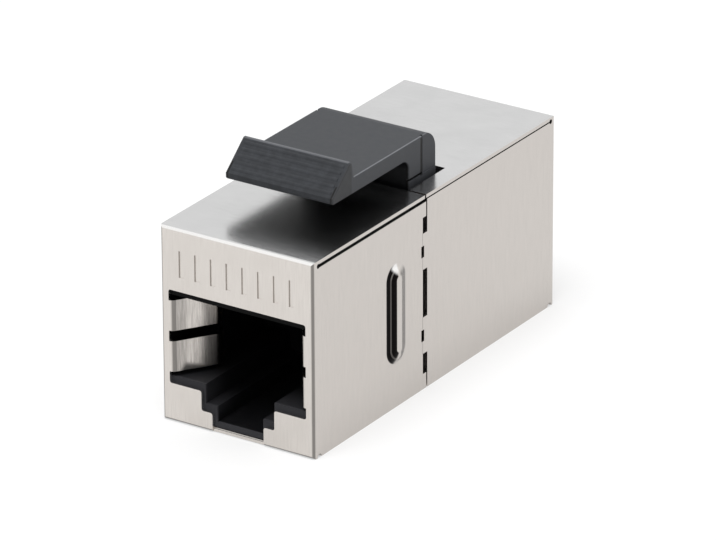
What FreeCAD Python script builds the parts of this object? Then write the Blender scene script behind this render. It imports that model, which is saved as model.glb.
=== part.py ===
"""Shielded RJ45 inline coupler with a keystone latch.

Frame: millimetres, +Z up, origin at the middle of the underside. The front port faces -Y and the
rear port faces +Y. Two stamped steel shields meet at a seam near the middle. Each shield holds a
moulded jack body with eight spring contacts, and a circuit board joins the two rows of contacts.
A moulded latch rises through a slot in the top and bends down when its grip is pressed.
"""
import FreeCAD, Part
import math
import os
import Sketcher

SIZES = [
    ("body_width", 14.6, "outside width across the two side flaps"),
    ("body_height", 17.0, "outside height of the shields"),
    ("body_length", 36.2, "front face to rear face"),
    ("sheet_thickness", 0.3, "steel sheet of the shields"),
    ("bend_radius", 0.36, "outside radius of the bends around each face"),
    ("front_flap_gap", 0.3, "gap between the front shield's folded flaps"),
    ("rear_flap_gap", 0.12, "gap between the rear shield's folded flaps"),
    ("corner_relief_depth", 0.75, "how far behind a face its corner slits begin"),
    ("corner_relief_radius", 0.2, "relief hole at the end of a corner slit"),
    ("bottom_relief_radius", 0.3, "relief notch at the face's lower corners"),
    ("seam_lead", 1.67, "front shield's side flaps end this far ahead of the middle"),
    ("seam_gap", 0.16, "gap between the two shields at the sides"),
    ("top_seam_gap", 0.2, "gap between them across the top"),
    ("top_seam_lead", 0.18, "front shield's top flap ends this far ahead of its side flaps"),
    ("fit_clearance", 0.05, "clearance around moulded pieces inside the shields"),
    ("tongue_reach", 0.51, "how far the rear shield's side tongues pass the seam"),
    ("tongue_butt_gap", 0.03, "gap between a tongue and its notch"),
    ("upper_tongue_low", 10.57, "lower edge of the upper tongue"),
    ("upper_tongue_high", 13.74, "upper edge of the upper tongue"),
    ("lower_tongue_low", 3.15, "lower edge of the lower tongue"),
    ("lower_tongue_high", 6.37, "upper edge of the lower tongue"),
    ("tongue_window_height", 1.0, "window at the middle of a tongue's end"),
    ("tongue_window_width", 0.42, "width of that window"),
    ("seam_slot_width", 0.5, "slot beside a tongue, in front of the seam"),
    ("top_slot_high", 15.14, "top of the uppermost seam slot"),
    ("bottom_slot_low", 1.36, "bottom of the lowest seam slot"),
    ("rib_centre_depth", 11.89, "front face to the middle of the side rib"),
    ("rib_width", 3.03, "width of the pressed side rib, with its flared foot"),
    ("rib_height", 0.4, "how far the side rib stands out"),
    ("rib_crown_radius", 1.75, "outside radius of the rib's crown"),
    ("rib_low", 3.55, "lower end of the side rib"),
    ("rib_high", 12.85, "upper end of the side rib"),
    ("mark_count", 8, "plain bars pressed in above a port, one for each contact"),
    ("mark_pitch", 1.5, "spacing of those bars"),
    ("mark_width", 0.5, "width of a bar"),
    ("mark_depth", 0.1, "depth of a bar"),
    ("mark_low", 12.8, "lower end of the bars"),
    ("mark_high", 15.1, "upper end of the bars"),
    ("port_half_width", 6.54, "half the width of the opening in a shield's face"),
    ("port_top", 11.56, "top of that opening"),
    ("port_ledge", 3.38, "ledge on which the plug's body rides"),
    ("port_step_half_width", 3.5, "half width of the plug latch's opening"),
    ("port_step", 1.66, "step below the plug latch's opening"),
    ("port_slot_half_width", 2.46, "half width of the slot through the lower edge"),
    ("port_corner_radius", 0.2, "corners of the opening"),
    ("spring_root", 0.4, "ground spring's hold in the face, beside the opening"),
    ("spring_height", 2.66, "height of one ground spring, pressed from the face"),
    ("upper_spring_low", 7.94, "lower edge of the upper ground spring"),
    ("lower_spring_low", 4.36, "lower edge of the lower ground spring"),
    ("spring_bend_radius", 0.42, "middle radius of a ground spring's first bend"),
    ("spring_tip_radius", 0.6, "middle radius of its contact bend"),
    ("spring_angle", 34.0, "inward slope of a ground spring, in degrees"),
    ("spring_reach", 3.5, "length of its sloping part"),
    ("spring_return_angle", 30.0, "outward slope of its tail, in degrees"),
    ("spring_return", 0.9, "length of its tail"),
    ("latch_slot_half_width", 5.66, "half width of the latch slot in the rear shield's top"),
    ("latch_slot_reach", 3.75, "middle of the part to the rear end of the latch slot"),
    ("jack_lead", 3.55, "jack body's block ends this far from the middle"),
    ("jack_side_wall", 1.0, "side wall of the plug cavity"),
    ("spring_pocket_depth", 6.0, "depth of the pockets for the ground springs"),
    ("spring_pocket_wall", 0.3, "side wall left beside those pockets"),
    ("cavity_rear_wall", 2.0, "wall behind the plug cavity"),
    ("cavity_floor", 3.9, "floor of the plug cavity"),
    ("cavity_top", 11.0, "roof of the plug cavity"),
    ("channel_half_width", 3.3, "half width of the plug latch's channel"),
    ("channel_floor", 2.2, "floor of that channel"),
    ("groove_half_width", 2.2, "half width of the groove in the channel's floor"),
    ("groove_floor", 0.85, "floor of that groove"),
    ("leg_thickness", 1.2, "thickness of the jack body's legs"),
    ("leg_top", 12.6, "top of the legs"),
    ("contact_count", 8, "contacts in each port"),
    ("contact_pitch", 1.02, "spacing of the contacts"),
    ("contact_radius", 0.2, "radius of the contact wire"),
    ("contact_run_height", 12.2, "height of the contacts' straight run"),
    ("contact_nose_depth", 3.2, "front face to the centre of the contacts' front bend"),
    ("contact_nose_radius", 0.7, "middle radius of that bend"),
    ("contact_tip_room", 2.2, "contact's free end to the cavity's rear wall"),
    ("contact_tip_height", 7.6, "height of a contact's free end"),
    ("contact_bend_radius", 0.5, "middle radius of the bends behind the jack"),
    ("contact_drop", 2.3, "middle of the part to the contacts' vertical run"),
    ("tail_stick_out", 0.35, "how far a contact's tail passes the board"),
    ("front_tail_height", 10.5, "height of the front contacts' upper row of tails"),
    ("rear_tail_height", 7.5, "height of the rear contacts' upper row of tails"),
    ("tail_row_step", 1.4, "drop from the upper to the lower row of tails"),
    ("carrier_plate_thickness", 0.9, "plate that the contacts wrap around"),
    ("carrier_nose_radius", 0.44, "rounding of the plate's front edges"),
    ("carrier_rib_width", 0.5, "ribs between the contacts"),
    ("carrier_edge", 0.6, "carrier beyond the outer contacts"),
    ("board_thickness", 1.2, "circuit board"),
    ("board_width", 13.2, "circuit board"),
    ("board_low", 0.8, "lower edge of the circuit board"),
    ("board_high", 12.4, "upper edge of the circuit board"),
    ("board_clearance", 0.05, "board to the legs, and tails to their holes"),
    ("seat_drop", 4.1, "shield's top to the underside of the latch seat"),
    ("seat_pocket_drop", 1.4, "shield's top to the floor of the pocket around the post"),
    ("seat_pocket_margin", 0.75, "pocket beyond the post's front"),
    ("seat_side_margin", 0.2, "pocket beyond the post's sides"),
    ("latch_width", 10.25, "width of the latch"),
    ("latch_arm_rise", 3.62, "shield's top to the top of the latch's arm"),
    ("latch_arm_thickness", 1.4, "thickness of the arm"),
    ("latch_nose_depth", 6.15, "front face to the latch's nose"),
    ("latch_nose_rise", 0.13, "arm's underside to the lower edge of the nose"),
    ("latch_nose_height", 0.43, "height of the nose's upright face"),
    ("latch_nose_chamfer", 0.15, "chamfer under the nose"),
    ("latch_apex_depth", 8.74, "front face to the grip's crest"),
    ("latch_apex_rise", 1.35, "arm's top to the grip's crest"),
    ("latch_apex_flat", 0.2, "flat on the grip's crest"),
    ("latch_notch_depth", 9.24, "front face to the corner behind the grip"),
    ("latch_edge_radius", 0.12, "rounding of the latch's side edges"),
    ("latch_rib_count", 5, "finger ribs on the grip"),
    ("latch_rib_radius", 0.3, "radius of a finger rib"),
    ("latch_rib_sink", 0.25, "depth of a rib's axis below the grip's face"),
    ("latch_rib_inset", 0.4, "plain strip beside the finger ribs"),
    ("latch_rib_margin", 0.75, "nose to the first rib, as a share of the ribs' spacing"),
    ("latch_post_lead", 0.83, "post's front to the middle of the part"),
    ("latch_post_trail", 3.23, "middle of the part to the post's rear"),
    ("latch_post_drop", 0.8, "shield's top to the underside of the post"),
    ("latch_outer_radius", 1.7, "bend at the top of the post"),
    ("latch_inner_radius", 0.9, "bend under the arm"),
    ("latch_side_step", 0.08, "how far the post's rear half is set in"),
    ("latch_step_trail", 1.08, "middle of the part to the step on the post's sides"),
    ("latch_step_rise", 0.3, "shield's top to the lower end of that step"),
    ("latch_groove_width", 0.21, "groove along the step and forward from its lower end"),
    ("latch_groove_depth", 0.25, "depth of that groove"),
    ("pivot_drop", 2.4, "shield's top to the axis of the latch's foot"),
    ("foot_radius", 1.1, "radius of the latch's foot"),
    ("foot_clearance", 0.05, "clearance around the foot"),
    ("foot_web_thickness", 1.2, "web between the post and the foot"),
    ("web_swing_room", 0.3, "room for the web on each side"),
]

doc = FreeCAD.newDocument("InlineCoupler")
sheet = doc.addObject("Spreadsheet::Sheet", "sizes")
for row, (alias, value, meaning) in enumerate(SIZES, start=1):
    sheet.set("A%d" % row, alias)
    sheet.set("B%d" % row, str(value))
    sheet.set("C%d" % row, meaning)
    sheet.setAlias("B%d" % row, alias)
doc.recompute()


class Length:
    """A size that knows its present value and the sheet expression that gives it."""

    def __init__(self, value, text=None):
        self.value = float(value)
        self.text = repr(float(value)) if text is None else text

    def _with(self, other, sign, result):
        other = other if isinstance(other, Length) else Length(other)
        return Length(result(self.value, other.value), "(%s %s %s)" % (self.text, sign, other.text))

    def __add__(self, other):
        return self._with(other, "+", lambda a, b: a + b)

    def __sub__(self, other):
        return self._with(other, "-", lambda a, b: a - b)

    def __mul__(self, other):
        return self._with(other, "*", lambda a, b: a * b)

    def __truediv__(self, other):
        return self._with(other, "/", lambda a, b: a / b)

    def __neg__(self):
        return Length(0) - self


def size(alias):
    """The Length of one cell of the sheet."""
    return Length(sheet.get(alias), "sizes." + alias)


def sine(angle):
    """The sine of a size given in degrees."""
    return Length(math.sin(math.radians(angle.value)), "sin(%s * 1deg)" % angle.text)


def cosine(angle):
    """The cosine of a size given in degrees."""
    return Length(math.cos(math.radians(angle.value)), "cos(%s * 1deg)" % angle.text)


def root(area):
    """The square root of a Length squared."""
    return Length(math.sqrt(area.value), "sqrt(%s)" % area.text)


def arc_tangent(share):
    """The angle in degrees whose tangent is given."""
    return Length(math.degrees(math.atan(share.value)), "(atan(%s) / 1deg)" % share.text)


def arc_cosine(share):
    """The angle in degrees whose cosine is given."""
    return Length(math.degrees(math.acos(share.value)), "(acos(%s) / 1deg)" % share.text)


def bind(item, path, length):
    """Bind one property of a document object to the sheet."""
    item.setExpression(path, length.text)


FRONT = -1
REAR = 1
NEAR = 1e-4
HALF_WIDTH = size("body_width") / 2
HEIGHT = size("body_height")
HALF_LENGTH = size("body_length") / 2
SHEET = size("sheet_thickness")
CLEAR = size("fit_clearance")
PAST = Length(2.0)
ZERO = Length(0.0)
INNER_HALF_WIDTH = HALF_WIDTH - SHEET
INNER_TOP = HEIGHT - SHEET
SEAM_DEPTH = HALF_LENGTH - size("seam_lead")
TOP_SEAM_DEPTH = SEAM_DEPTH - size("top_seam_lead")
REAR_SHIELD_LENGTH = size("body_length") - TOP_SEAM_DEPTH - size("top_seam_gap")


def from_face(end, depth):
    """The y of a point that lies a depth behind the front (or rear) face."""
    return (HALF_LENGTH - depth) * end


def depth_span(end, near, far):
    """The y range between two depths behind a face, low end first."""
    if end == FRONT:
        return from_face(end, near), from_face(end, far)
    return from_face(end, far), from_face(end, near)


def both(half):
    """A range that lies evenly about zero."""
    return -half, half


def side_span(side, low, high):
    """An x range between two distances from the middle, on one side."""
    if side > 0:
        return low, high
    return -high, -low


# ---------------------------------------------------------------- features of a body


def new_body(label):
    body = doc.addObject("PartDesign::Body", label)
    body.Label = label
    return body


def block(body, name, xs, ys, zs, cut=False):
    """Add or cut a box between the given pairs of lengths."""
    kind = "PartDesign::SubtractiveBox" if cut else "PartDesign::AdditiveBox"
    item = body.newObject(kind, name)
    item.Refine = False
    for prop, axis, (low, high) in (("Length", "x", xs), ("Width", "y", ys), ("Height", "z", zs)):
        bind(item, prop, high - low)
        bind(item, "Placement.Base." + axis, low)
    return item


def rod(body, name, axis, centre, span, radius, cut=False):
    """Add or cut a cylinder along X, Y or Z; centre gives the two other coordinates in order."""
    turns = {
        "x": FreeCAD.Rotation(FreeCAD.Vector(0, 1, 0), 90),
        "y": FreeCAD.Rotation(FreeCAD.Vector(1, 0, 0), -90),
        "z": FreeCAD.Rotation(),
    }
    kind = "PartDesign::SubtractiveCylinder" if cut else "PartDesign::AdditiveCylinder"
    item = body.newObject(kind, name)
    item.Refine = False
    item.Placement = FreeCAD.Placement(FreeCAD.Vector(), turns[axis])
    others = [letter for letter in "xyz" if letter != axis]
    bind(item, "Placement.Base." + axis, span[0])
    bind(item, "Placement.Base." + others[0], centre[0])
    bind(item, "Placement.Base." + others[1], centre[1])
    bind(item, "Radius", radius)
    bind(item, "Height", span[1] - span[0])
    return item


def ball(body, name, centre, radius, cut=False):
    kind = "PartDesign::SubtractiveSphere" if cut else "PartDesign::AdditiveSphere"
    item = body.newObject(kind, name)
    item.Refine = False
    for axis, place in zip("xyz", centre):
        bind(item, "Placement.Base." + axis, place)
    bind(item, "Radius", radius)
    return item


def is_along(edge, axis):
    """True for a straight edge that runs along the named axis."""
    if not isinstance(edge.Curve, (Part.Line, Part.LineSegment)):
        return False
    run = edge.Vertexes[-1].Point - edge.Vertexes[0].Point
    return abs(getattr(run, axis)) > 0.999 * run.Length > 0


def is_at(edge, **places):
    """True where the middle of an edge has the given coordinates."""
    middle = edge.BoundBox.Center
    return all(abs(getattr(middle, axis) - place.value) < NEAR for axis, place in places.items())


def soften(body, name, radius, wanted, kind="PartDesign::Fillet"):
    """Round (or chamfer) the edges of the body for which wanted(edge) is true."""
    doc.recompute()
    base = body.Tip
    names = ["Edge%d" % n for n, edge in enumerate(base.Shape.Edges, start=1) if wanted(edge)]
    if not names:
        raise RuntimeError("no edge found for " + name)
    item = body.newObject(kind, name)
    item.Base = (base, names)
    bind(item, "Radius" if kind == "PartDesign::Fillet" else "Size", radius)
    return item


def new_sketch(body, name, role, offset=None):
    """A sketch on one of the body's own origin planes, moved by three lengths in its own axes."""
    plane = [item for item in body.Origin.OriginFeatures if item.Role == role][0]
    sketch = body.newObject("Sketcher::SketchObject", name)
    sketch.AttachmentSupport = (plane, [""])
    sketch.MapMode = "FlatFace"
    for axis, place in zip("xyz", offset or ()):
        bind(sketch, "AttachmentOffset.Base." + axis, place)
    return sketch


def pin_point(sketch, shape, point, place):
    """Fix one point of a sketch's shape at two lengths from the sketch's origin."""
    for kind, length in zip(("DistanceX", "DistanceY"), place):
        number = sketch.addConstraint(Sketcher.Constraint(kind, -1, 1, shape, point, length.value))
        sketch.setExpression("Constraints[%d]" % number, length.text)


def outline(body, name, role, places, offset=None):
    """A closed outline of straight lines whose corners are all bound to the sheet."""
    sketch = new_sketch(body, name, role, offset)
    corners = [FreeCAD.Vector(u.value, v.value, 0) for u, v in places]
    count = len(corners)
    for n in range(count):
        sketch.addGeometry(Part.LineSegment(corners[n], corners[(n + 1) % count]))
    for n in range(count):
        sketch.addConstraint(Sketcher.Constraint("Coincident", n, 2, (n + 1) % count, 1))
    for n, place in enumerate(places):
        pin_point(sketch, n, 1, place)
    return sketch


def pad(body, name, sketch, length, symmetric=False):
    item = body.newObject("PartDesign::Pad", name)
    item.Profile = sketch
    bind(item, "Length", length)
    if symmetric:
        item.SideType = "Symmetric"
    return item


def sweep(body, name, profile, path):
    item = body.newObject("PartDesign::AdditivePipe", name)
    item.Refine = False
    item.Profile = profile
    item.Spine = (path, ["Edge%d" % n for n in range(1, len(path.Geometry) + 1)])
    return item


def add_arc(sketch, start, middle, end):
    """Draw an arc anticlockwise; returns its number and the point numbers of start and end."""
    turn = (middle - start).cross(end - middle).z
    if turn > 0:
        return sketch.addGeometry(Part.Arc(start, middle, end)), 1, 2
    return sketch.addGeometry(Part.Arc(end, middle, start)), 2, 1


def add_line(sketch, start, end):
    """Draw a straight line whose two ends are bound to the sheet."""
    spots = [FreeCAD.Vector(u.value, v.value, 0) for u, v in (start, end)]
    line = sketch.addGeometry(Part.LineSegment(*spots))
    pin_point(sketch, line, 1, start)
    pin_point(sketch, line, 2, end)
    return line


def join(sketch, line, middle, next_line):
    """Join two bound lines by an arc that leaves the first one smoothly."""
    start = sketch.Geometry[line].EndPoint
    end = sketch.Geometry[next_line].StartPoint
    spot = FreeCAD.Vector(middle[0].value, middle[1].value, 0)
    arc, first, last = add_arc(sketch, start, spot, end)
    sketch.addConstraint(Sketcher.Constraint("Tangent", line, 2, arc, first))
    sketch.addConstraint(Sketcher.Constraint("Coincident", arc, last, next_line, 1))


# ---------------------------------------------------------------- shields


RIB_HALF_WIDTH = size("rib_width") / 2
RIB_CROWN = size("rib_crown_radius")
RIB_FLARE = (RIB_HALF_WIDTH * RIB_HALF_WIDTH / size("rib_height") + size("rib_height")) / 2 - RIB_CROWN


def add_side_rib(body, side, cut):
    """A long pressed rib with round ends: its outside is added, then its inside is cut."""
    middle = (HALF_WIDTH + size("rib_height") - RIB_CROWN) * side
    y_middle = from_face(FRONT, size("rib_centre_depth"))
    low = size("rib_low") + RIB_HALF_WIDTH
    high = size("rib_high") - RIB_HALF_WIDTH
    radius = RIB_CROWN - SHEET if cut else RIB_CROWN
    stage = "hollow" if cut else "crown"
    place = "right" if side > 0 else "left"
    rod(body, "rib_%s_%s" % (stage, place), "z", (middle, y_middle), (low, high), radius, cut)
    ball(body, "rib_%s_%s_low" % (stage, place), (middle, y_middle, low), radius, cut)
    ball(body, "rib_%s_%s_high" % (stage, place), (middle, y_middle, high), radius, cut)


def flare_ribs(body):
    """Blend the feet of both ribs into the side flaps."""
    y_middle = from_face(FRONT, size("rib_centre_depth")).value

    def at_foot(edge):
        box = edge.BoundBox
        return box.XLength < NEAR and abs(abs(box.Center.x) - HALF_WIDTH.value) < NEAR \
            and abs(box.Center.y - y_middle) < RIB_HALF_WIDTH.value

    soften(body, "rib_feet", RIB_FLARE, at_foot)


def add_folded_box(body, end, length, gap, ribbed):
    """One face with four flaps folded back from it, and slits between the flaps."""
    block(body, "outside", both(HALF_WIDTH), depth_span(end, ZERO, length), (ZERO, HEIGHT))
    face = from_face(end, ZERO)
    soften(body, "outer_bends", size("bend_radius"), lambda edge: is_at(edge, y=face))
    if ribbed:
        for side in (-1, 1):
            add_side_rib(body, side, cut=False)
        flare_ribs(body)
    block(body, "inside", both(INNER_HALF_WIDTH), depth_span(end, SHEET, length + PAST),
          (SHEET, INNER_TOP), cut=True)
    inner_face = from_face(end, SHEET)
    soften(body, "inner_bends", size("bend_radius") - SHEET, lambda edge: is_at(edge, y=inner_face))
    if ribbed:
        for side in (-1, 1):
            add_side_rib(body, side, cut=True)
    slits = depth_span(end, size("corner_relief_depth"), length + PAST)
    relief_y = from_face(end, size("corner_relief_depth"))
    across = both(HALF_WIDTH + PAST)
    block(body, "top_slits", across, slits, (INNER_TOP - gap, INNER_TOP), cut=True)
    rod(body, "top_reliefs", "x", (relief_y, INNER_TOP - gap / 2), across,
        size("corner_relief_radius"), cut=True)
    for side in (-1, 1):
        place = "right" if side > 0 else "left"
        seam = side_span(side, INNER_HALF_WIDTH - gap, INNER_HALF_WIDTH)
        block(body, "bottom_slit_" + place, seam, slits, (-PAST, SHEET + gap), cut=True)
        corner = side_span(side, INNER_HALF_WIDTH - gap, HALF_WIDTH + PAST)
        rod(body, "bottom_relief_" + place, "x", (relief_y, ZERO), corner,
            size("bottom_relief_radius"), cut=True)


def cut_port(body, end):
    """The opening for a plug, with its ledge, its step and the slot through the lower edge."""
    through = depth_span(end, -PAST, SHEET + size("bend_radius"))
    wide = both(size("port_half_width"))
    block(body, "port_opening", wide, through, (size("port_ledge"), size("port_top")), cut=True)
    block(body, "port_step", both(size("port_step_half_width")), through,
          (size("port_step"), size("port_ledge") + SHEET), cut=True)
    slot_through = depth_span(end, -PAST, SHEET)
    block(body, "port_slot", both(size("port_slot_half_width")), slot_through,
          (SHEET, size("port_step") + SHEET), cut=True)
    low_slot = depth_span(end, -PAST, SHEET / 2)
    block(body, "port_slot_lip", both(size("port_slot_half_width")), low_slot,
          (-PAST, SHEET * 2), cut=True)
    corners = (
        (size("port_half_width"), size("port_top")),
        (size("port_half_width"), size("port_ledge")),
        (size("port_step_half_width"), size("port_ledge")),
        (size("port_step_half_width"), size("port_step")),
        (size("port_slot_half_width"), size("port_step")),
    )
    sheet_middle = from_face(end, SHEET / 2)

    def at_corner(edge):
        return is_along(edge, "y") and any(
            is_at(edge, x=across * side, y=sheet_middle, z=height)
            for across, height in corners for side in (-1, 1))

    soften(body, "port_corners", size("port_corner_radius"), at_corner)


def press_marks(body, end):
    """Plain upright bars above a port, one for each contact."""
    spread = size("mark_pitch") * (size("mark_count") - 1)
    half = size("mark_width") / 2
    first = block(body, "mark", (-(spread / 2) - half, half - spread / 2),
                  depth_span(end, -PAST, size("mark_depth")),
                  (size("mark_low"), size("mark_high")), cut=True)
    row = body.newObject("PartDesign::LinearPattern", "marks")
    row.Originals = [first]
    row.Direction = ([item for item in body.Origin.OriginFeatures if item.Role == "X_Axis"][0], [""])
    row.Refine = False
    bind(row, "Length", spread)
    bind(row, "Occurrences", size("mark_count"))
    body.Tip = row


def add_ground_spring(body, end, side, row, low):
    """A strip of the face that bends in beside the opening and slopes to its contact bend."""
    label = "%s_spring_%s" % (row, "right" if side > 0 else "left")
    slope = size("spring_angle")
    back = size("spring_return_angle")
    bend = size("spring_bend_radius")
    tip = size("spring_tip_radius")
    # Corners are (distance from the middle plane, depth behind the face).
    start = (size("port_half_width") + size("spring_root"), SHEET / 2)
    first_end = (size("port_half_width"), start[1])
    slope_start = (first_end[0] - bend * cosine(slope),
                   first_end[1] + bend * (Length(1) - sine(slope)))
    reach = size("spring_reach")
    slope_end = (slope_start[0] - reach * sine(slope), slope_start[1] + reach * cosine(slope))
    tail_start = (slope_end[0] + tip * (cosine(slope) - cosine(back)),
                  slope_end[1] + tip * (sine(slope) + sine(back)))
    tail = size("spring_return")
    tail_end = (tail_start[0] + tail * sine(back), tail_start[1] + tail * cosine(back))
    # Middles of the two arcs, only as starting values for the sketch.
    half_turn = (Length(90) - slope) / 2
    first_arc = (first_end[0] - bend * sine(half_turn),
                 first_end[1] + bend * (Length(1) - cosine(half_turn)))
    lean = (slope - back) / 2
    tip_arc = (slope_end[0] + tip * (cosine(slope) - cosine(lean)),
               slope_end[1] + tip * (sine(slope) - sine(lean)))

    def place(corner):
        return corner[0] * side, from_face(end, corner[1])

    half_height = size("spring_height") / 2
    middle = low + half_height
    path = new_sketch(body, label + "_path", "XY_Plane", (ZERO, ZERO, middle))
    stem = add_line(path, place(start), place(first_end))
    ramp = add_line(path, place(slope_start), place(slope_end))
    join(path, stem, place(first_arc), ramp)
    join(path, ramp, place(tip_arc), add_line(path, place(tail_start), place(tail_end)))
    near, far = depth_span(end, ZERO, SHEET)
    section = outline(body, label + "_section", "YZ_Plane", [
        (near, middle - half_height),
        (far, middle - half_height),
        (far, middle + half_height),
        (near, middle + half_height),
    ], (ZERO, ZERO, start[0] * side))
    sweep(body, label, section, path)


def finish_face(body, end):
    cut_port(body, end)
    press_marks(body, end)
    for side in (-1, 1):
        add_ground_spring(body, end, side, "upper", size("upper_spring_low"))
        add_ground_spring(body, end, side, "lower", size("lower_spring_low"))


TONGUES = (
    ("upper", size("upper_tongue_low"), size("upper_tongue_high")),
    ("lower", size("lower_tongue_low"), size("lower_tongue_high")),
)
TONGUE_END = SEAM_DEPTH - size("tongue_reach")


def cut_across(body, name, near, far, low, high):
    """Cut both side flaps alike, between two depths behind the front face."""
    block(body, name, both(HALF_WIDTH + PAST), depth_span(FRONT, near, far), (low, high), cut=True)


def cut_tongue_window(body, name, low, high):
    middle = (low + high) / 2
    half = size("tongue_window_height") / 2
    reach = size("tongue_window_width") / 2
    cut_across(body, name, TONGUE_END - reach, TONGUE_END + reach, middle - half, middle + half)


def make_front_shield():
    body = new_body("front_shield")
    add_folded_box(body, FRONT, SEAM_DEPTH, size("front_flap_gap"), ribbed=True)
    past_seam = SEAM_DEPTH + PAST
    cut_across(body, "top_seam", TOP_SEAM_DEPTH, past_seam, INNER_TOP - SHEET / 2, HEIGHT + PAST)
    slots = (
        ("top", size("upper_tongue_high"), size("top_slot_high")),
        ("middle", size("lower_tongue_high"), size("upper_tongue_low")),
        ("bottom", size("bottom_slot_low"), size("lower_tongue_low")),
    )
    for name, low, high in slots:
        cut_across(body, name + "_slot", SEAM_DEPTH - size("seam_slot_width"), past_seam, low, high)
    butt = size("tongue_butt_gap")
    for name, low, high in TONGUES:
        cut_across(body, name + "_notch", TONGUE_END - butt, past_seam, low - butt, high + butt)
        cut_tongue_window(body, name + "_window", low, high)
    finish_face(body, FRONT)
    return body


def make_rear_shield():
    body = new_body("rear_shield")
    add_folded_box(body, REAR, REAR_SHIELD_LENGTH, size("rear_flap_gap"), ribbed=False)
    rear_seam = SEAM_DEPTH + size("seam_gap")
    cut_across(body, "side_seam", TOP_SEAM_DEPTH - PAST, rear_seam, -PAST, INNER_TOP)
    tongue = depth_span(FRONT, TONGUE_END, rear_seam + SHEET)
    for name, low, high in TONGUES:
        for side in (-1, 1):
            block(body, "%s_tongue_%s" % (name, "right" if side > 0 else "left"),
                  side_span(side, INNER_HALF_WIDTH, HALF_WIDTH), tongue, (low, high))
        cut_tongue_window(body, name + "_window", low, high)
    slot = depth_span(FRONT, TOP_SEAM_DEPTH - PAST, HALF_LENGTH + size("latch_slot_reach"))
    block(body, "latch_slot", both(size("latch_slot_half_width")), slot,
          (INNER_TOP - SHEET, HEIGHT + PAST), cut=True)
    finish_face(body, REAR)
    return body


# ---------------------------------------------------------------- jacks

JACK_FRONT = SHEET + CLEAR
JACK_REAR = HALF_LENGTH - size("jack_lead")
CAVITY_DEPTH = JACK_REAR - size("cavity_rear_wall")


def make_jack_body(prefix, end):
    """A moulded block with the plug cavity, the plug latch's channel and two legs to the board."""
    body = new_body(prefix + "_jack_body")
    half_width = INNER_HALF_WIDTH - CLEAR
    low = SHEET + CLEAR
    block(body, "block", both(half_width), depth_span(end, JACK_FRONT, JACK_REAR),
          (low, INNER_TOP - CLEAR))
    front_y = from_face(end, JACK_FRONT)
    soften(body, "front_edges", size("bend_radius") - SHEET, lambda edge: is_at(edge, y=front_y))
    mouth = JACK_FRONT - PAST
    cavity = depth_span(end, mouth, CAVITY_DEPTH)
    cavity_half = half_width - size("jack_side_wall")
    block(body, "cavity", both(cavity_half), cavity,
          (size("cavity_floor"), size("cavity_top")), cut=True)
    pocket_half = half_width - size("spring_pocket_wall")
    block(body, "spring_pockets", both(pocket_half), depth_span(end, mouth, size("spring_pocket_depth")),
          (size("cavity_floor"), size("cavity_top")), cut=True)
    block(body, "channel", both(size("channel_half_width")), cavity,
          (size("channel_floor"), size("cavity_floor") + CLEAR), cut=True)
    block(body, "groove", both(size("groove_half_width")), cavity,
          (size("groove_floor"), size("channel_floor") + CLEAR), cut=True)
    block(body, "carrier_pocket", both(CARRIER_HALF_WIDTH + CLEAR),
          depth_span(end, CARRIER_FRONT - size("contact_radius") * 2 - CLEAR * 4, JACK_REAR + PAST),
          (size("cavity_top") - CLEAR, CARRIER_TOP + CLEAR), cut=True)
    leg_end = HALF_LENGTH - size("board_thickness") / 2 - size("board_clearance")
    for side in (-1, 1):
        block(body, "leg_right" if side > 0 else "leg_left",
              side_span(side, half_width - size("leg_thickness"), half_width),
              depth_span(end, JACK_REAR - CLEAR, leg_end), (low, size("leg_top")))
    return body


CONTACT_SPREAD = size("contact_pitch") * (size("contact_count") - 1) / 2
CARRIER_HALF_WIDTH = CONTACT_SPREAD + size("carrier_edge")
CARRIER_PLATE_TOP = size("contact_run_height") - size("contact_radius") - CLEAR
CARRIER_PLATE_LOW = CARRIER_PLATE_TOP - size("carrier_plate_thickness")
CARRIER_TOP = size("contact_run_height") + size("contact_radius") + CLEAR * 2
CARRIER_FRONT = size("contact_nose_depth") - size("contact_nose_radius") + size("contact_radius")


def make_contact_carrier(prefix, end):
    """A plate that the contacts wrap around, with ribs that keep them apart."""
    body = new_body(prefix + "_contact_carrier")
    near = CARRIER_FRONT + CLEAR
    block(body, "plate", both(CARRIER_HALF_WIDTH), depth_span(end, near, JACK_REAR),
          (CARRIER_PLATE_LOW, CARRIER_PLATE_TOP))
    front_y = from_face(end, near)
    soften(body, "nose", size("carrier_nose_radius"),
           lambda edge: is_along(edge, "x") and is_at(edge, y=front_y))
    count = int(size("contact_count").value)
    run = depth_span(end, size("contact_nose_depth"), JACK_REAR)
    half = size("carrier_rib_width") / 2
    heights = (CARRIER_PLATE_TOP - CLEAR, CARRIER_TOP)
    for n in range(1, count):
        middle = size("contact_pitch") * (n - count / 2)
        block(body, "rib_%d" % n, (middle - half, middle + half), run, heights)
    for side in (-1, 1):
        inner = CARRIER_HALF_WIDTH - half
        block(body, "edge_right" if side > 0 else "edge_left",
              side_span(side, inner, CARRIER_HALF_WIDTH), run, heights)
    return body


def contact_x(number):
    count = size("contact_count").value
    return size("contact_pitch") * (number - (count + 1) / 2)


def tail_height(end, number):
    top = size("front_tail_height") if end == FRONT else size("rear_tail_height")
    return top if number % 2 else top - size("tail_row_step")


TAIL_END = size("board_thickness") / 2 + size("tail_stick_out")


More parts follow.
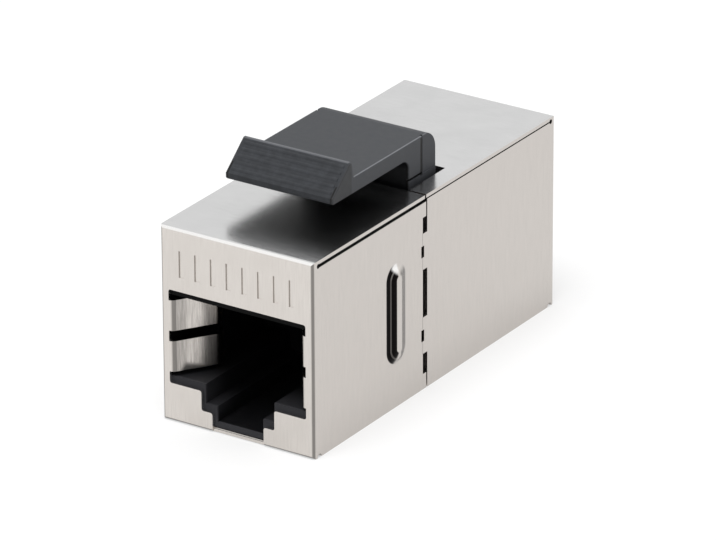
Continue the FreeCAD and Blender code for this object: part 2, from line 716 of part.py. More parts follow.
def make_contact(prefix, end, number):
    """A gold-plated spring wire, from its tail in the board to its free end in the cavity."""
    body = new_body("%s_contact_%d" % (prefix, number))
    across = contact_x(number)
    tail = tail_height(end, number)
    run = size("contact_run_height")
    nose = size("contact_nose_radius")
    start = -TAIL_END * end
    drop = size("contact_drop") * end
    bend = size("contact_bend_radius")
    swing = bend * (Length(1) - cosine(Length(45)))
    nose_y = from_face(end, size("contact_nose_depth"))
    tip_depth = CAVITY_DEPTH - size("contact_tip_room")
    tip = (from_face(end, tip_depth), size("contact_tip_height"))
    # The slope to the free end touches the front bend's circle, seen from the bend's centre.
    tip_run = tip_depth - size("contact_nose_depth")
    tip_drop = run - nose - size("contact_tip_height")
    reach = root(tip_run * tip_run + tip_drop * tip_drop)
    touch_angle = arc_tangent(tip_drop / tip_run) + arc_cosine(nose / reach)
    touch = (nose_y - nose * cosine(touch_angle) * end, run - nose - nose * sine(touch_angle))

    path = new_sketch(body, "path", "YZ_Plane", (ZERO, ZERO, across))
    tail_line = add_line(path, (start, tail), (drop - bend * end, tail))
    riser = add_line(path, (drop, tail + bend), (drop, run - bend))
    straight = add_line(path, (drop + bend * end, run), (nose_y, run))
    slope = add_line(path, touch, tip)
    join(path, tail_line, (drop - swing * end, tail + swing), riser)
    join(path, riser, (drop + swing * end, run - swing), straight)
    join(path, straight, (nose_y + nose * end, run - nose), slope)

    section = new_sketch(body, "section", "XZ_Plane", (across, tail, -start))
    radius = size("contact_radius")
    wire = section.addGeometry(
        Part.Circle(FreeCAD.Vector(), FreeCAD.Vector(0, 0, 1), radius.value))
    section.addConstraint(Sketcher.Constraint("Coincident", wire, 3, -1, 1))
    rule = section.addConstraint(Sketcher.Constraint("Radius", wire, radius.value))
    section.setExpression("Constraints[%d]" % rule, radius.text)
    sweep(body, "wire", section, path)
    return body


# ---------------------------------------------------------------- middle of the part


def make_circuit_board():
    body = new_body("circuit_board")
    half = size("board_thickness") / 2
    block(body, "board", both(size("board_width") / 2), both(half),
          (size("board_low"), size("board_high")))
    radius = size("contact_radius") + size("board_clearance")
    for end in (FRONT, REAR):
        for number in range(1, int(size("contact_count").value) + 1):
            rod(body, "hole_%s_%d" % ("front" if end == FRONT else "rear", number), "y",
                (contact_x(number), tail_height(end, number)), (-PAST, PAST), radius, cut=True)
    return body


POST_FRONT = -size("latch_post_lead")
POST_REAR = size("latch_post_trail")
POST_BOTTOM = HEIGHT - size("latch_post_drop")
PIVOT_Y = (POST_FRONT + POST_REAR) / 2
PIVOT_Z = HEIGHT - size("pivot_drop")


def make_latch_seat():
    """The moulded bridge between the jacks, with the round seat of the latch's foot."""
    body = new_body("latch_seat")
    half_length = HALF_LENGTH - JACK_REAR - CLEAR
    block(body, "block", both(INNER_HALF_WIDTH - CLEAR), both(half_length),
          (HEIGHT - size("seat_drop"), INNER_TOP - CLEAR))
    pocket_floor = HEIGHT - size("seat_pocket_drop")
    pocket_half = size("latch_width") / 2 + size("seat_side_margin")
    block(body, "post_pocket", both(pocket_half),
          (POST_FRONT - size("seat_pocket_margin"), half_length + PAST),
          (pocket_floor, INNER_TOP + PAST), cut=True)
    web_half = size("foot_web_thickness") / 2 + size("web_swing_room")
    block(body, "web_slot", both(pocket_half), (PIVOT_Y - web_half, PIVOT_Y + web_half),
          (PIVOT_Z, pocket_floor + SHEET), cut=True)
    rod(body, "foot_bore", "x", (PIVOT_Y, PIVOT_Z), both(pocket_half),
        size("foot_radius") + size("foot_clearance"), cut=True)
    return body


def is_latch_side_edge(edge):
    """True for the edges around the latch's sides, above the shields."""
    box = edge.BoundBox
    side = size("latch_width").value / 2
    return box.XLength < NEAR and abs(abs(box.Center.x) - side) < NEAR \
        and box.ZMax > POST_BOTTOM.value + NEAR


def make_latch():
    """The latch: grip, arm, post, web and foot, moulded as one."""
    body = new_body("latch")
    arm_top = HEIGHT + size("latch_arm_rise")
    arm_low = arm_top - size("latch_arm_thickness")
    nose = from_face(FRONT, size("latch_nose_depth"))
    nose_low = arm_low + size("latch_nose_rise")
    nose_high = nose_low + size("latch_nose_height")
    apex = from_face(FRONT, size("latch_apex_depth"))
    crest = arm_top + size("latch_apex_rise")
    notch = from_face(FRONT, size("latch_notch_depth"))
    width = size("latch_width")
    side = outline(body, "side_outline", "YZ_Plane", [
        (nose, nose_low),
        (nose, nose_high),
        (apex, crest),
        (apex + size("latch_apex_flat"), crest),
        (notch, arm_top),
        (POST_REAR, arm_top),
        (POST_REAR, POST_BOTTOM),
        (POST_FRONT, POST_BOTTOM),
        (POST_FRONT, arm_low),
        (nose + size("latch_nose_chamfer"), arm_low),
    ])
    pad(body, "arm_and_post", side, width, symmetric=True)
    soften(body, "outer_bend", size("latch_outer_radius"),
           lambda edge: is_along(edge, "x") and is_at(edge, y=POST_REAR, z=arm_top))
    soften(body, "inner_bend", size("latch_inner_radius"),
           lambda edge: is_along(edge, "x") and is_at(edge, y=POST_FRONT, z=arm_low))
    soften(body, "side_edges", size("latch_edge_radius"), is_latch_side_edge)
    add_finger_ribs(body, (nose, nose_high), (apex, crest))
    mark_post_sides(body, arm_top)
    web_half = size("foot_web_thickness") / 2
    block(body, "web", both(width / 2), (PIVOT_Y - web_half, PIVOT_Y + web_half),
          (PIVOT_Z, POST_BOTTOM + CLEAR))
    rod(body, "foot", "x", (PIVOT_Y, PIVOT_Z), both(width / 2), size("foot_radius"))
    return body


def add_finger_ribs(body, start, end):
    """Low ribs along the grip, evenly spaced between two points of its side outline."""
    run = end[0] - start[0]
    rise = end[1] - start[1]
    slope = root(run * run + rise * rise)
    sink = size("latch_rib_sink")
    inward = (sink * rise / slope, -sink * run / slope)
    margin = size("latch_rib_margin")
    spaces = size("latch_rib_count") - 1 + margin * 2
    for n in range(int(size("latch_rib_count").value)):
        share = (margin + n) / spaces
        rod(body, "finger_rib_%d" % (n + 1), "x",
            (start[0] + run * share + inward[0], start[1] + rise * share + inward[1]),
            both(size("latch_width") / 2 - size("latch_rib_inset")), size("latch_rib_radius"))


def mark_post_sides(body, arm_top):
    """Set in the rear half of the post's sides, with a groove along the step."""
    half_width = size("latch_width") / 2
    step_y = size("latch_step_trail")
    step_low = HEIGHT + size("latch_step_rise")
    groove = size("latch_groove_width")
    for side in (-1, 1):
        place = "right" if side > 0 else "left"
        inset = side_span(side, half_width - size("latch_side_step"), half_width + PAST)
        block(body, "side_step_" + place, inset, (step_y, POST_REAR + PAST),
              (step_low, arm_top + PAST), cut=True)
        slot = side_span(side, half_width - size("latch_groove_depth"), half_width + PAST)
        block(body, "upright_groove_" + place, slot, (step_y, step_y + groove),
              (step_low, arm_top + PAST), cut=True)
        block(body, "level_groove_" + place, slot, (POST_FRONT - PAST, step_y + groove),
              (step_low, step_low + groove), cut=True)


# ---------------------------------------------------------------- build, check and write


def make_parts():
    parts = [make_front_shield(), make_rear_shield()]
    for prefix, end in (("front", FRONT), ("rear", REAR)):
        parts.append(make_jack_body(prefix, end))
        parts.append(make_contact_carrier(prefix, end))
        for number in range(1, int(size("contact_count").value) + 1):
            parts.append(make_contact(prefix, end, number))
    parts.append(make_circuit_board())
    parts.append(make_latch_seat())
    parts.append(make_latch())
    return parts


def check_document():
    for item in doc.Objects:
        if "Invalid" in item.State or "Error" in item.State:
            raise RuntimeError("%s failed: %s" % (item.Name, item.State))


def write_parts(parts):
    for part in parts:
        if part.Shape.isNull() or not part.Shape.isValid() or len(part.Shape.Solids) != 1:
            raise RuntimeError("%s is not one valid solid" % part.Label)
    os.makedirs("parts", exist_ok=True)
    for part in parts:
        part.Shape.exportStep("parts/%s.step" % part.Label)


all_parts = make_parts()
doc.recompute()
check_document()
write_parts(all_parts)
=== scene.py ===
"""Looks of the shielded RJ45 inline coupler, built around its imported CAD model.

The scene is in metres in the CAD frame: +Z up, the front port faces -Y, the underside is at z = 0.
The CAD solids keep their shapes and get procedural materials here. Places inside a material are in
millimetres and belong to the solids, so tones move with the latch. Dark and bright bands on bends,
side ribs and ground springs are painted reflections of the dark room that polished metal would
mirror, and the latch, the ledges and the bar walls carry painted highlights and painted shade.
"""
import math

import bpy
from mathutils import Matrix, Vector


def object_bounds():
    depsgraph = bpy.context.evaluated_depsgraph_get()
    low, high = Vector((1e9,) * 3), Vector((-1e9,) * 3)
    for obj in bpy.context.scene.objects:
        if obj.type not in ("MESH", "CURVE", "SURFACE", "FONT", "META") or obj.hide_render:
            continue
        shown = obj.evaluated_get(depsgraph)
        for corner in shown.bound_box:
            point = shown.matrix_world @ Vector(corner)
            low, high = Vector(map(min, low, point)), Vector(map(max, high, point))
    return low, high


MM = 0.001
PORTS = ("front", "rear")
CONTACT_COUNT = 8

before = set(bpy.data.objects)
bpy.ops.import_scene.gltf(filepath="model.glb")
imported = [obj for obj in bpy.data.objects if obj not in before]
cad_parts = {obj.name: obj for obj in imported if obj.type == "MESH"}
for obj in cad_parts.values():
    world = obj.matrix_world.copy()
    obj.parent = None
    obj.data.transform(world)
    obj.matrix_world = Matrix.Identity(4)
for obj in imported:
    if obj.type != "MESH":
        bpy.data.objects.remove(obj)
cad_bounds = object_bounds()

# The shell, in mm: faces, top, side flaps, sheet and port.
FACE_Y = cad_bounds[1][1] / MM
TOP_Z = 17.0
SIDE_X = 7.3
FLAP_INSIDE = 6.92
SHEET = 0.3
PORT_TOP = 11.56
BARS_LOW = 12.6
BARS_HIGH = 15.3
BARS_HALF_WIDTH = 6.6

# A side rib, in mm: its place, and the bands of painted reflection on it as distances from its
# middle line.
RIB_Y = 11.89 - FACE_Y
RIB_MIDDLE_Z = 8.3
RIB_HALF_RUN = 3.0
RIB_FLANK = (0.34, 0.88)
RIB_CREASE = (0.86, 0.97)
RIB_FOOT = (0.95, 1.37)
RIB_REAR_FLANK = (0.42, 1.4)
RIB_UPPER_END = (0.55, 1.3)

# The latch, in mm: half width, crest of the grip, top of the arm, notch behind the grip, post.
LATCH_X = max(vertex.co.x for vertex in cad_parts["latch"].data.vertices) / MM
CREST = cad_bounds[1][2] / MM
ARM_TOP = CREST - 1.35
ARM_UNDERSIDE = 19.2
NOTCH_Y = 9.24 - FACE_Y
POST_STEP_Y = 1.08
POST_FOOT = 17.2

# The ledges inside a port, in mm.
LEDGE_TOP = 3.9
LEDGE_FOOT = 0.9

# Colours that several places share, in this order: painted shade, painted dark reflection, painted
# highlight, painted black shade, and white for the floor and the world.
SHADOW = (0.02, 0.018, 0.016, 1)
PAINTED_DARK_REFLECTION = (0.006, 0.005, 0.005, 1)
GLINT = (0.95, 0.94, 0.93, 1)
BLACK = (0.002, 0.002, 0.002, 1)
WHITE = (1, 1, 1, 1)


# ---------------------------------------------------------------- camera


def make_camera():
    """A long lens that looks down at the front and right sides."""
    azimuth = math.radians(33.247)
    elevation = math.radians(23.883)
    roll = math.radians(-0.269)
    distance = 538.28 * MM
    target = Vector((0.0, -2.1, 8.0)) * MM
    aim_right = 0.851 * MM
    aim_up = 0.740 * MM
    back = Vector((math.sin(azimuth) * math.cos(elevation),
                   -math.cos(azimuth) * math.cos(elevation),
                   math.sin(elevation)))
    level = (-back).cross(Vector((0, 0, 1))).normalized()
    upright = level.cross(-back)
    right = level * math.cos(roll) + upright * math.sin(roll)
    up = upright * math.cos(roll) - level * math.sin(roll)
    camera = bpy.data.objects.new("camera", bpy.data.cameras.new("camera"))
    camera.data.sensor_width = 36.0
    camera.data.lens = 333.6285
    camera.data.clip_start = 0.01
    camera.data.clip_end = 20.0
    spot = target + right * aim_right + up * aim_up + back * distance
    turn = Matrix((right, up, back)).transposed().to_4x4()
    camera.matrix_world = Matrix.Translation(spot) @ turn
    bpy.context.scene.collection.objects.link(camera)
    bpy.context.scene.camera = camera


# ---------------------------------------------------------------- node helpers


class Nodes:
    """A small builder for one node tree."""

    def __init__(self, tree):
        self.tree = tree
        tree.nodes.clear()

    def add(self, kind, **values):
        """Add a node. A keyword sets an attribute, or the input of that name where there is none."""
        node = self.tree.nodes.new(kind)
        for name, value in values.items():
            if hasattr(node, name):
                setattr(node, name, value)
            else:
                self.put(node, name, value)
        return node

    def put(self, node, name, value):
        """Give an input a constant, or link it to another node's output."""
        socket = node.inputs[name]
        if isinstance(value, bpy.types.NodeSocket):
            self.tree.links.new(value, socket)
        else:
            socket.default_value = value

    def put_all(self, node, **values):
        """Give several inputs their values; an underscore stands for a space."""
        for name, value in values.items():
            self.put(node, name.replace("_", " "), value)

    def math(self, operation, first, second=None):
        """One sum of the Math node."""
        node = self.add("ShaderNodeMath", operation=operation)
        self.put(node, 0, first)
        if second is not None:
            self.put(node, 1, second)
        return node.outputs[0]

    def away(self, value):
        """How far a value is from zero."""
        return self.math("ABSOLUTE", value)

    def less(self, first, second):
        """The first value less the second."""
        return self.math("SUBTRACT", first, second)

    def product(self, first, *others):
        """All the values multiplied."""
        for other in others:
            first = self.math("MULTIPLY", first, other)
        return first

    def largest(self, first, *others):
        """The largest of the values."""
        for other in others:
            first = self.math("MAXIMUM", first, other)
        return first

    def between(self, value, low_in, high_in, low_out, high_out):
        """A value carried from one range to another, and kept inside it."""
        node = self.add("ShaderNodeMapRange")
        self.put_all(node, Value=value, From_Min=low_in, From_Max=high_in,
                     To_Min=low_out, To_Max=high_out)
        return node.outputs[0]

    def smooth(self, value, none_at, full_at):
        """0 at one value and 1 at the other, with a soft rise; either may be the larger."""
        node = self.add("ShaderNodeMapRange", interpolation_type="SMOOTHSTEP")
        self.put_all(node, Value=value, From_Min=none_at, From_Max=full_at)
        return node.outputs[0]

    def band(self, value, low, high, soft):
        """1 between two values, with soft ends."""
        rise = self.smooth(value, low - soft, low + soft)
        return self.less(rise, self.smooth(value, high - soft, high + soft))

    def scaled(self, vector, scale):
        """A vector times a scale for each axis."""
        node = self.add("ShaderNodeMapping")
        self.put_all(node, Vector=vector, Scale=scale)
        return node.outputs[0]

    def parts(self, vector):
        """The three parts of a vector."""
        return self.add("ShaderNodeSeparateXYZ", Vector=vector).outputs

    def noise(self, vector, scale, detail=2.0, roughness=0.5):
        """Cloudy noise from 0 to 1."""
        node = self.add("ShaderNodeTexNoise")
        self.put_all(node, Vector=vector, Scale=scale, Detail=detail, Roughness=roughness)
        return node.outputs["Fac"]

    def mix(self, share, first, second):
        """A value between two values."""
        node = self.add("ShaderNodeMix", data_type="FLOAT")
        for slot, value in ((0, share), (2, first), (3, second)):
            self.put(node, slot, value)
        return node.outputs[0]

    def mix_colour(self, share, first, second):
        """A colour between two colours."""
        node = self.add("ShaderNodeMix", data_type="RGBA")
        for slot, value in ((0, share), (6, first), (7, second)):
            self.put(node, slot, value)
        return node.outputs[2]

    def bump(self, height, strength):
        """A normal from a fine relief."""
        node = self.add("ShaderNodeBump")
        self.put_all(node, Height=height, Strength=strength, Distance=0.02 * MM)
        return node.outputs[0]


class Place:
    """Where a point lies on its solid: the vector in metres, and its parts in mm."""

    def __init__(self, nodes):
        self.vector = nodes.add("ShaderNodeTexCoord").outputs["Object"]
        self.x, self.y, self.z = nodes.parts(nodes.scaled(self.vector, (1.0 / MM,) * 3))
        self.wide = nodes.away(self.x)
        self.depth = nodes.less(FACE_Y, nodes.away(self.y))


def new_material(name):
    """A material with one shader, and the builder of its nodes."""
    material = bpy.data.materials.new(name)
    material.use_nodes = True
    nodes = Nodes(material.node_tree)
    shader = nodes.add("ShaderNodeBsdfPrincipled")
    nodes.add("ShaderNodeOutputMaterial", Surface=shader.outputs[0])
    return material, nodes, shader


def dress(material, *names):
    """Give CAD nodes a material."""
    for name in names:
        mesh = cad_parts[name].data
        mesh.materials.clear()
        mesh.materials.append(material)


# ---------------------------------------------------------------- steel


def plating(nodes, place, facing):
    """Colour and grain of the brushed nickel: warm on the end walls, a painted reflection that keeps
    the top neutral, and painted shade that darkens the side walls.
    """
    on_top = nodes.math("GREATER_THAN", facing[2], 0.7)
    thin = 9.0 / MM
    long = 0.5 / MM
    upright = nodes.noise(nodes.scaled(place.vector, (thin, thin, long)), 1.0, 3.0, 0.6)
    lying = nodes.noise(nodes.scaled(place.vector, (long, thin, thin)), 1.0, 3.0, 0.6)
    grain = nodes.mix(on_top, upright, lying)
    cloud = nodes.between(nodes.noise(place.vector, 0.35 / MM), 0.3, 0.7, 0.0, 1.0)
    end_wall = nodes.mix_colour(cloud, (0.70, 0.66, 0.62, 1), (0.74, 0.70, 0.66, 1))
    end_wall = nodes.mix_colour(nodes.between(grain, 0.3, 0.7, 0.0, 0.6), end_wall,
                                (0.64, 0.60, 0.565, 1))
    # The top is neutral and a little darker: a painted reflection.
    top = nodes.mix_colour(cloud, (0.63, 0.63, 0.63, 1), (0.69, 0.69, 0.69, 1))
    top = nodes.mix_colour(grain, top, (0.58, 0.58, 0.58, 1))
    # The side walls are darker: painted shade.
    shaded_side_wall = nodes.mix_colour(grain, (0.66, 0.62, 0.585, 1), (0.585, 0.55, 0.52, 1))
    tone = nodes.mix_colour(on_top, end_wall, top)
    return nodes.mix_colour(nodes.smooth(facing[0], 0.9, 0.98), tone, shaded_side_wall), grain


def rib_painted_reflections(nodes, place):
    """Painted reflections on the side ribs: dark on the front flank, dull on the rear flank, and a
    painted glint at the upper end.
    """
    across = nodes.less(place.y, RIB_Y)
    beyond = nodes.less(nodes.away(nodes.less(place.z, RIB_MIDDLE_Z)), RIB_HALF_RUN)
    beyond = nodes.largest(beyond, 0.0)
    reach = nodes.math("SQRT", nodes.math("ADD", nodes.product(across, across),
                                          nodes.product(beyond, beyond)))
    lean = nodes.math("DIVIDE", across, nodes.largest(reach, 0.01))
    proud = nodes.smooth(place.wide, SIDE_X - 0.01, SIDE_X + 0.012)
    run_end = RIB_MIDDLE_Z + RIB_HALF_RUN
    high = nodes.smooth(place.z, run_end + 0.3, run_end + 1.0)

    flank = nodes.band(reach, *RIB_FLANK, 0.04)
    crease = nodes.product(nodes.band(reach, *RIB_CREASE, 0.02), 0.8)
    foot = nodes.band(reach, *RIB_FOOT, 0.04)
    ahead = nodes.smooth(lean, -0.12, -0.5)
    # Painted dark reflection of the room on the front flank.
    dark = nodes.product(nodes.largest(foot, crease, flank), ahead, proud)

    behind = nodes.smooth(lean, 0.2, 0.6)
    # Painted dull reflection on the rear flank.
    dull = nodes.product(nodes.band(reach, *RIB_REAR_FLANK, 0.15), behind, proud, 0.75,
                         nodes.less(1.0, high))
    # Painted glint at the upper end.
    bright = nodes.product(nodes.band(reach, *RIB_UPPER_END, 0.15),
                           nodes.band(lean, -0.5, 0.1, 0.15), high, proud)
    return dark, dull, bright


def spring_painted_shade(nodes, place, grain):
    """Painted shade on the ground springs inside the ports: most at their roots and inner ends, with
    streaks from the grain.
    """
    within = nodes.product(nodes.smooth(place.wide, FLAP_INSIDE, FLAP_INSIDE - 0.04),
                           nodes.smooth(place.depth, SHEET + 0.01, SHEET + 0.03),
                           nodes.smooth(place.z, PORT_TOP - 0.06, PORT_TOP - 0.26))
    at_root = nodes.product(nodes.smooth(place.depth, 1.5, 0.7), 0.36)
    at_end = nodes.product(nodes.smooth(place.depth, 1.8, 2.6), 0.5)
    streaks = nodes.between(grain, 0.35, 0.65, -0.06, 0.09)
    # Painted shade, varied by the grain's streaks.
    shade_and_streaks = nodes.math("ADD", nodes.largest(at_root, at_end, 0.08), streaks)
    return nodes.product(within, nodes.largest(shade_and_streaks, 0.0))


def bend_painted_reflections(nodes, place, facing, rising):
    """Painted reflections on the outer bends: dark where a bend does not face up, and a painted
    highlight on the upper ones.
    """
    outside = nodes.largest(nodes.smooth(place.wide, FLAP_INSIDE, FLAP_INSIDE + 0.03),
                            nodes.smooth(place.depth, SHEET + 0.03, SHEET))
    bend = nodes.product(nodes.smooth(nodes.largest(*facing), 0.985, 0.84), outside)
    bright = nodes.product(bend, nodes.smooth(rising, 0.25, 0.45),
                           nodes.smooth(place.z, TOP_Z - 0.7, TOP_Z - 0.5), 0.9)
    dark = nodes.product(bend, nodes.smooth(rising, 0.2, 0.0), 0.68)
    return dark, bright


def cut_edge_highlights(nodes, place, facing):
    """Painted highlights on the cut edges of the opening in a face."""
    return nodes.product(nodes.smooth(place.depth, SHEET + 0.01, SHEET - 0.01),
                         nodes.smooth(facing[1], 0.4, 0.3),
                         nodes.smooth(place.wide, FLAP_INSIDE, FLAP_INSIDE - 0.04),
                         nodes.smooth(place.z, TOP_Z - 0.8, TOP_Z - 1.0),
                         nodes.smooth(place.z, 0.4, 0.5))


def bar_wall_shade(nodes, place, facing):
    """Painted shade on the side walls of the plain bars above a port."""
    return nodes.product(nodes.band(place.z, BARS_LOW, BARS_HIGH, 0.05),
                         nodes.smooth(place.wide, BARS_HALF_WIDTH + 0.1, BARS_HALF_WIDTH),
                         nodes.smooth(place.depth, 0.2, 0.18),
                         nodes.smooth(facing[0], 0.5, 0.7))


def make_steel():
    """Nickel-plated sheet with fine brushing: upright on the walls, across on the top."""
    material, nodes, shader = new_material("brushed_shield")
    place = Place(nodes)
    normal = nodes.parts(nodes.add("ShaderNodeNewGeometry").outputs["Normal"])
    facing = [nodes.away(part) for part in normal]
    tone, grain = plating(nodes, place, facing)
    rib_painted_dark, rib_painted_dull, rib_painted_glint = rib_painted_reflections(nodes, place)
    bend_painted_dark, bend_painted_highlight = bend_painted_reflections(nodes, place, facing, normal[2])
    bars = bar_wall_shade(nodes, place, facing)

    # Painted shade and painted dark reflections on the bends, rib flanks, springs and bar walls,
    # then painted highlights on the cut edges, the ribs' upper ends and the upper bends.
    shade = nodes.largest(bend_painted_dark, rib_painted_dull, spring_painted_shade(nodes, place, grain))
    tone = nodes.mix_colour(nodes.math("MINIMUM", shade, 1.0), tone, SHADOW)
    tone = nodes.mix_colour(rib_painted_dark, tone, PAINTED_DARK_REFLECTION)
    tone = nodes.mix_colour(nodes.product(bars, 0.35), tone, SHADOW)
    edges = nodes.less(cut_edge_highlights(nodes, place, facing), bars)
    bright = nodes.largest(edges, rib_painted_glint, bend_painted_highlight)
    nodes.put_all(shader, Base_Color=nodes.mix_colour(bright, tone, GLINT), Metallic=1.0,
                  Roughness=nodes.between(grain, 0.3, 0.7, 0.17, 0.25),
                  Normal=nodes.bump(grain, 0.16))
    return material


# ---------------------------------------------------------------- plastics


def moulded(name, roughness, gloss, grain_size, strength):
    """Moulded plastic with a fine eroded surface; its colour is added by the caller."""
    material, nodes, shader = new_material(name)
    place = Place(nodes)
    grain = nodes.noise(place.vector, 1.0 / (grain_size * MM), 2.0, 0.6)
    cloud = nodes.noise(place.vector, 1.5 / MM, 3.0, 0.6)
    nodes.put_all(shader, Specular_IOR_Level=gloss, Normal=nodes.bump(grain, strength),
                  Roughness=nodes.between(cloud, 0.3, 0.7, roughness - 0.05, roughness + 0.05))
    return material, nodes, shader, place, nodes.between(cloud, 0.35, 0.65, 0.0, 1.0)


def make_jack_plastic():
    """Black plastic, with painted light on the front edges and tops of the ledges and painted black
    shade behind the sheet.
    """
    material, nodes, shader, place, cloud = moulded("jack_plastic", 0.4, 0.07, 0.06, 0.1)
    at_front = nodes.smooth(place.depth, 0.6, 0.5)
    low = nodes.smooth(place.z, LEDGE_TOP + 0.06, LEDGE_TOP + 0.02)
    ledge_painted_light = nodes.product(nodes.smooth(place.depth, 4.1, 0.6), low,
                          nodes.smooth(place.z, LEDGE_FOOT, LEDGE_FOOT + 1.3))
    hidden = nodes.largest(nodes.smooth(place.wide, 6.6, 6.7),
                           nodes.product(at_front, nodes.smooth(place.z, 10.8, 11.0)))
    tone = nodes.mix_colour(cloud, (0.006, 0.006, 0.007, 1), (0.009, 0.009, 0.010, 1))
    # Painted light on the front edges of the ledges.
    tone = nodes.mix_colour(nodes.product(at_front, low), tone, (0.052, 0.052, 0.057, 1))
    # Painted light on the ledge tops, fading deeper into the port.
    tone = nodes.mix_colour(nodes.product(ledge_painted_light, 0.6), tone, (0.034, 0.034, 0.038, 1))
    # Painted black shade where the plastic lies behind the sheet.
    nodes.put(shader, "Base Color", nodes.mix_colour(hidden, tone, BLACK))
    return material


def make_seat_plastic():
    """Dull black plastic around the latch's post."""
    material, nodes, shader, _, cloud = moulded("seat_plastic", 0.6, 0.05, 0.06, 0.1)
    tone = nodes.mix_colour(cloud, (0.003, 0.003, 0.003, 1), (0.005, 0.005, 0.006, 1))
    nodes.put(shader, "Base Color", tone)
    return material


def latch_side(nodes, place, full_inset):
    """Where the latch's side faces and their rounded edges are."""
    return nodes.smooth(place.wide, LATCH_X - 0.13, LATCH_X - full_inset)


def latch_groove_shade(nodes, place):
    """Painted shade in the groove on the post's side, and a thin painted shade beside its upright
    part.
    """
    floor = nodes.smooth(place.wide, LATCH_X - 0.3, LATCH_X - 0.24)
    below_top = nodes.smooth(place.z, ARM_TOP - 0.1, ARM_TOP - 0.16)
    groove = nodes.product(nodes.smooth(place.wide, LATCH_X - 0.1, LATCH_X - 0.14), floor, below_top)
    shade = nodes.product(floor, nodes.smooth(place.y, POST_STEP_Y - 0.24, POST_STEP_Y - 0.2),
                          nodes.smooth(place.y, POST_STEP_Y + 0.12, POST_STEP_Y + 0.06),
                          nodes.smooth(place.z, POST_FOOT, POST_FOOT + 0.1), below_top)
    return nodes.largest(groove, shade)


def latch_specks_and_shade(nodes, place, cloud):
    """Where the latch is dark: the grip's own specks, and painted shade on the underside of its arm.
    """
    on_grip = nodes.smooth(place.y, NOTCH_Y - 0.3, NOTCH_Y - 0.5)
    specks = nodes.product(on_grip, nodes.between(cloud, 0.0, 1.0, 0.25, 0.0))
    # Painted shade under the arm.
    underside = nodes.product(nodes.smooth(place.z, ARM_UNDERSIDE + 0.2, ARM_UNDERSIDE),
                              nodes.smooth(place.wide, LATCH_X - 0.02, LATCH_X - 0.06),
                              nodes.smooth(place.y, 0.3, 0.0),
                              nodes.smooth(place.y, -11.6, -11.2), 0.85)
    return nodes.largest(specks, underside)


def latch_painted_light(nodes, place, groove):
    """Where the latch gets painted light: highlights on the arm's side edges and the crest, and a
    little on the sides.
    """
    within = nodes.smooth(place.wide, LATCH_X - 0.01, LATCH_X - 0.03)
    arm_edge_highlight = nodes.product(latch_side(nodes, place, 0.09), within,
                             nodes.smooth(place.z, ARM_TOP - 0.13, ARM_TOP - 0.08),
                             nodes.band(place.y, NOTCH_Y, 1.9, 0.1))
    crest = nodes.product(nodes.smooth(place.z, CREST - 0.09, CREST - 0.03),
                          nodes.smooth(place.wide, 5.0, 4.9), 0.6)
    # Painted light on the sides.
    sides = nodes.less(nodes.product(latch_side(nodes, place, 0.1), 0.2), groove)
    return nodes.largest(arm_edge_highlight, crest, sides)


def make_latch_plastic():
    """Dark grey plastic with painted highlights on its edges, painted shade in its creases and a
    mottled grip.
    """
    material, nodes, shader, place, cloud = moulded("latch_plastic", 0.5, 0.35, 0.07, 0.35)
    groove = latch_groove_shade(nodes, place)
    # Painted shade on the sides of the grip.
    grip_side_shade = nodes.product(latch_side(nodes, place, 0.09),
                              nodes.smooth(place.y, NOTCH_Y - 0.3, NOTCH_Y - 0.4),
                              nodes.smooth(place.z, CREST - 0.05, CREST - 0.15), 0.9)
    tone = nodes.mix_colour(cloud, (0.028, 0.031, 0.036, 1), (0.036, 0.039, 0.045, 1))
    # The grip's specks, and painted shade under the arm.
    tone = nodes.mix_colour(latch_specks_and_shade(nodes, place, cloud), tone, (0.004, 0.004, 0.005, 1))
    # Painted black shade in the groove and on the grip's sides.
    tone = nodes.mix_colour(nodes.largest(groove, grip_side_shade), tone, BLACK)
    # Painted highlights and painted light.
    tone = nodes.mix_colour(latch_painted_light(nodes, place, groove), tone, (0.17, 0.175, 0.19, 1))
    nodes.put(shader, "Base Color", tone)
    return material


# ---------------------------------------------------------------- parts inside


def make_gold():
    """Gold plating of the contacts."""
    material, nodes, shader = new_material("contact_gold")
    cloud = nodes.noise(nodes.add("ShaderNodeTexCoord").outputs["Object"], 1.5 / MM)
    tone = nodes.mix_colour(cloud, (0.83, 0.58, 0.22, 1), (0.9, 0.68, 0.32, 1))
    nodes.put_all(shader, Base_Color=tone, Metallic=1.0,
                  Roughness=nodes.between(cloud, 0.3, 0.7, 0.18, 0.3))
    return material


def make_board():
    """Green circuit board."""
    material, nodes, shader = new_material("board_green")
    weave = nodes.noise(nodes.add("ShaderNodeTexCoord").outputs["Object"], 2.5 / MM)
    tone = nodes.mix_colour(weave, (0.02, 0.14, 0.05, 1), (0.04, 0.2, 0.08, 1))
    nodes.put_all(shader, Base_Color=tone, Roughness=nodes.between(weave, 0.3, 0.7, 0.3, 0.4))
    return material


# ---------------------------------------------------------------- studio


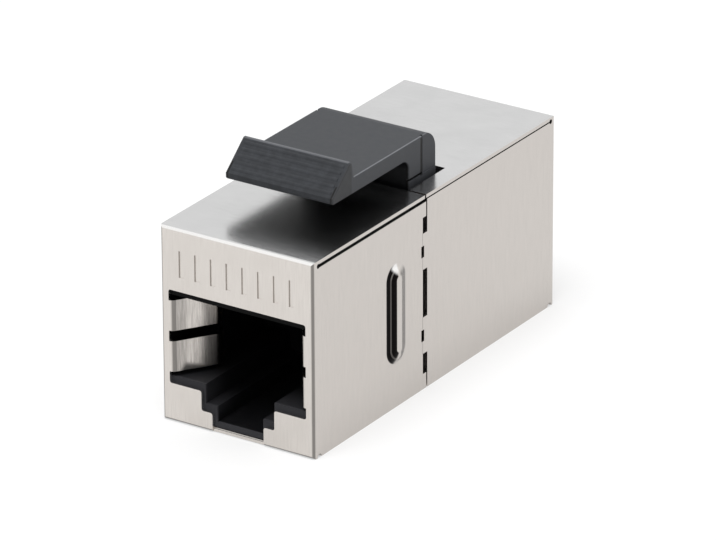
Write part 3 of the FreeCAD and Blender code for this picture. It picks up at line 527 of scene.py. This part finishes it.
def make_floor():
    """A pale floor that shows as white and keeps the coupler's soft shadow."""
    half = 3.0
    mesh = bpy.data.meshes.new("floor")
    corners = [(-half, -half, 0), (half, -half, 0), (half, half, 0), (-half, half, 0)]
    mesh.from_pydata(corners, [], [(0, 1, 2, 3)])
    floor = bpy.data.objects.new("floor", mesh)
    bpy.context.scene.collection.objects.link(floor)
    material = bpy.data.materials.new("floor")
    material.use_nodes = True
    nodes = Nodes(material.node_tree)
    diffuse = nodes.add("ShaderNodeBsdfDiffuse", Color=(0.5, 0.5, 0.5, 1))
    path = nodes.add("ShaderNodeLightPath").outputs
    seen = nodes.product(path["Is Camera Ray"], 0.47)
    mirrored = nodes.product(nodes.largest(path["Is Glossy Ray"], path["Is Transmission Ray"]), 0.38)
    glow = nodes.add("ShaderNodeEmission", Color=WHITE, Strength=nodes.largest(seen, mirrored))
    both = nodes.add("ShaderNodeAddShader")
    nodes.put(both, 0, diffuse.outputs[0])
    nodes.put(both, 1, glow.outputs[0])
    nodes.add("ShaderNodeOutputMaterial", Surface=both.outputs[0])
    mesh.materials.append(material)


def make_world():
    """White where it is seen, directly or in a surface, and a softer light that comes from above."""
    world = bpy.data.worlds.new("studio")
    bpy.context.scene.world = world
    world.use_nodes = True
    nodes = Nodes(world.node_tree)
    path = nodes.add("ShaderNodeLightPath").outputs
    seen = nodes.largest(path["Is Camera Ray"], path["Is Glossy Ray"], path["Is Transmission Ray"])
    height = nodes.parts(nodes.add("ShaderNodeTexCoord").outputs["Generated"])[2]
    light = nodes.between(nodes.smooth(height, 0.0, 0.9), 0.0, 1.0, 0.33, 0.93)
    back = nodes.add("ShaderNodeBackground", Color=WHITE, Strength=nodes.largest(light, seen))
    nodes.add("ShaderNodeOutputWorld", Surface=back.outputs[0])


def make_lamp():
    """A soft square lamp that faces the middle of the coupler and isn't mirrored in its metal."""
    spot = Vector((0.02, -0.18, 0.65))
    middle = Vector((0, 0, 10 * MM))
    data = bpy.data.lights.new("key", "AREA")
    data.size = 0.35
    data.energy = 2.2
    lamp = bpy.data.objects.new("key", data)
    turn = (spot - middle).to_track_quat("Z", "Y").to_matrix().to_4x4()
    lamp.matrix_world = Matrix.Translation(spot) @ turn
    lamp.visible_glossy = False
    bpy.context.scene.collection.objects.link(lamp)


make_camera()
make_floor()
make_world()
make_lamp()
bpy.context.scene.view_settings.view_transform = "Standard"

dress(make_steel(), "front_shield", "rear_shield")
dress(make_jack_plastic(), "front_jack_body", "rear_jack_body",
      "front_contact_carrier", "rear_contact_carrier")
dress(make_seat_plastic(), "latch_seat")
dress(make_latch_plastic(), "latch")
dress(make_gold(), *["%s_contact_%d" % (port, number)
                     for port in PORTS for number in range(1, CONTACT_COUNT + 1)])
dress(make_board(), "circuit_board")
